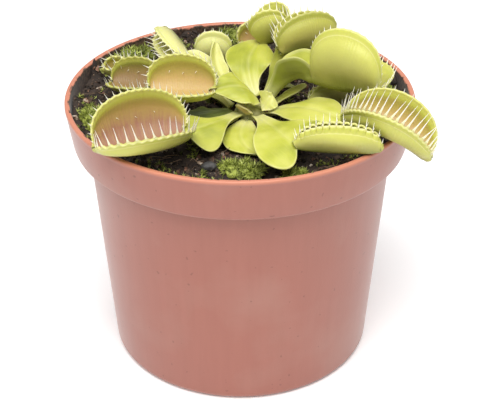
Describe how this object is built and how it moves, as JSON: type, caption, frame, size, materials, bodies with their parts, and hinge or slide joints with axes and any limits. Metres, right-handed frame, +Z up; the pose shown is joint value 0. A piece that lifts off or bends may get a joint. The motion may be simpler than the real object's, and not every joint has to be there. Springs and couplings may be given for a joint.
{
  "type": "potted venus flytrap",
  "caption": "Low rosette of broad green leaves ending in toothed two-lobed traps, some open and some shut, growing from dark potting soil in a round tapered plastic nursery pot.",
  "frame": {"origin": "centre of the pot's flat foot, on the surface that it stands on", "axes": "+Z up along the pot's axis; +Y away from the viewer who sees the two open traps at the left and right front; +X to that viewer's right"},
  "size_m": [0.0927, 0.09, 0.0947],
  "materials": {
    "terracotta_plastic": "satin",
    "peat": "matte",
    "leaf_bulb": "satin",
    "leaf_green": "satin",
    "leaf_pale": "satin",
    "leaf_olive": "satin",
    "moss": "matte",
    "stone": "matte"
  },
  "bodies": {
    "root": {"pot": "terracotta_plastic", "potting_soil": "peat", "crown": "leaf_bulb", "leaf_front_left": "leaf_green", "leaf_mid_left": "leaf_green", "leaf_small_left": "leaf_olive", "leaf_far_left": "leaf_green", "leaf_back_narrow": "leaf_pale", "leaf_back_pale": "leaf_pale", "leaf_back_small": "leaf_green", "leaf_back_tall": "leaf_green", "leaf_back_closed": "leaf_olive", "leaf_right_large": "leaf_green", "leaf_right_open": "leaf_green", "leaf_front_right": "leaf_green", "leaf_scalloped_right": "leaf_olive", "leaf_front_low": "leaf_green", "leaf_small_under": "leaf_green", "leaf_shaded_left": "leaf_olive", "leaf_young_round": "leaf_pale", "leaf_bud": "leaf_pale", "leaf_narrow_back": "leaf_olive", "leaf_rolled_right": "leaf_green", "leaf_pale_spear": "leaf_pale", "moss_front": "moss", "moss_front_right": "moss", "moss_left": "moss", "moss_back_left": "moss", "moss_back": "moss", "moss_right": "moss", "stone_grey": "stone", "stone_flat": "stone", "pebble_pale": "stone"}
  },
  "joints": []
}
